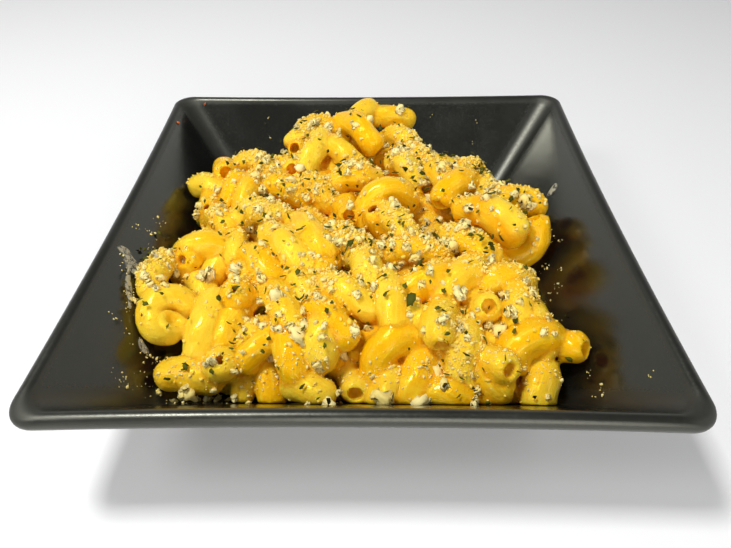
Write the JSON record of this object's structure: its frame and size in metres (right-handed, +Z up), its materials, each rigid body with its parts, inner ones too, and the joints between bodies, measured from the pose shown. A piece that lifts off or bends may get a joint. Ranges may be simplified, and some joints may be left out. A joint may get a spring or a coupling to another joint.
{
  "type": "macaroni and cheese in a square dish",
  "caption": "Corkscrew macaroni in cheese sauce with breadcrumbs and dried parsley, heaped in a deep square black dish with flared flat sides.",
  "frame": {"origin": "the middle of the dish's foot, in the plane it stands on", "axes": "+Z up out of the dish; X and Y along the sides of its square rim, -Y the near side in the usual view; the food climbs highest on the +Y side"},
  "size_m": [0.1998, 0.1998, 0.0507],
  "materials": {
    "black_glaze": "satin black glaze on stoneware",
    "cheese_pasta": "pasta in a thick glossy cheese sauce",
    "crumb": "dry toasted breadcrumbs",
    "herb": "dried dark green parsley flakes"
  },
  "bodies": {
    "root": {"plate": "black_glaze", "mac_heap": "cheese_pasta"}
  },
  "joints": []
}
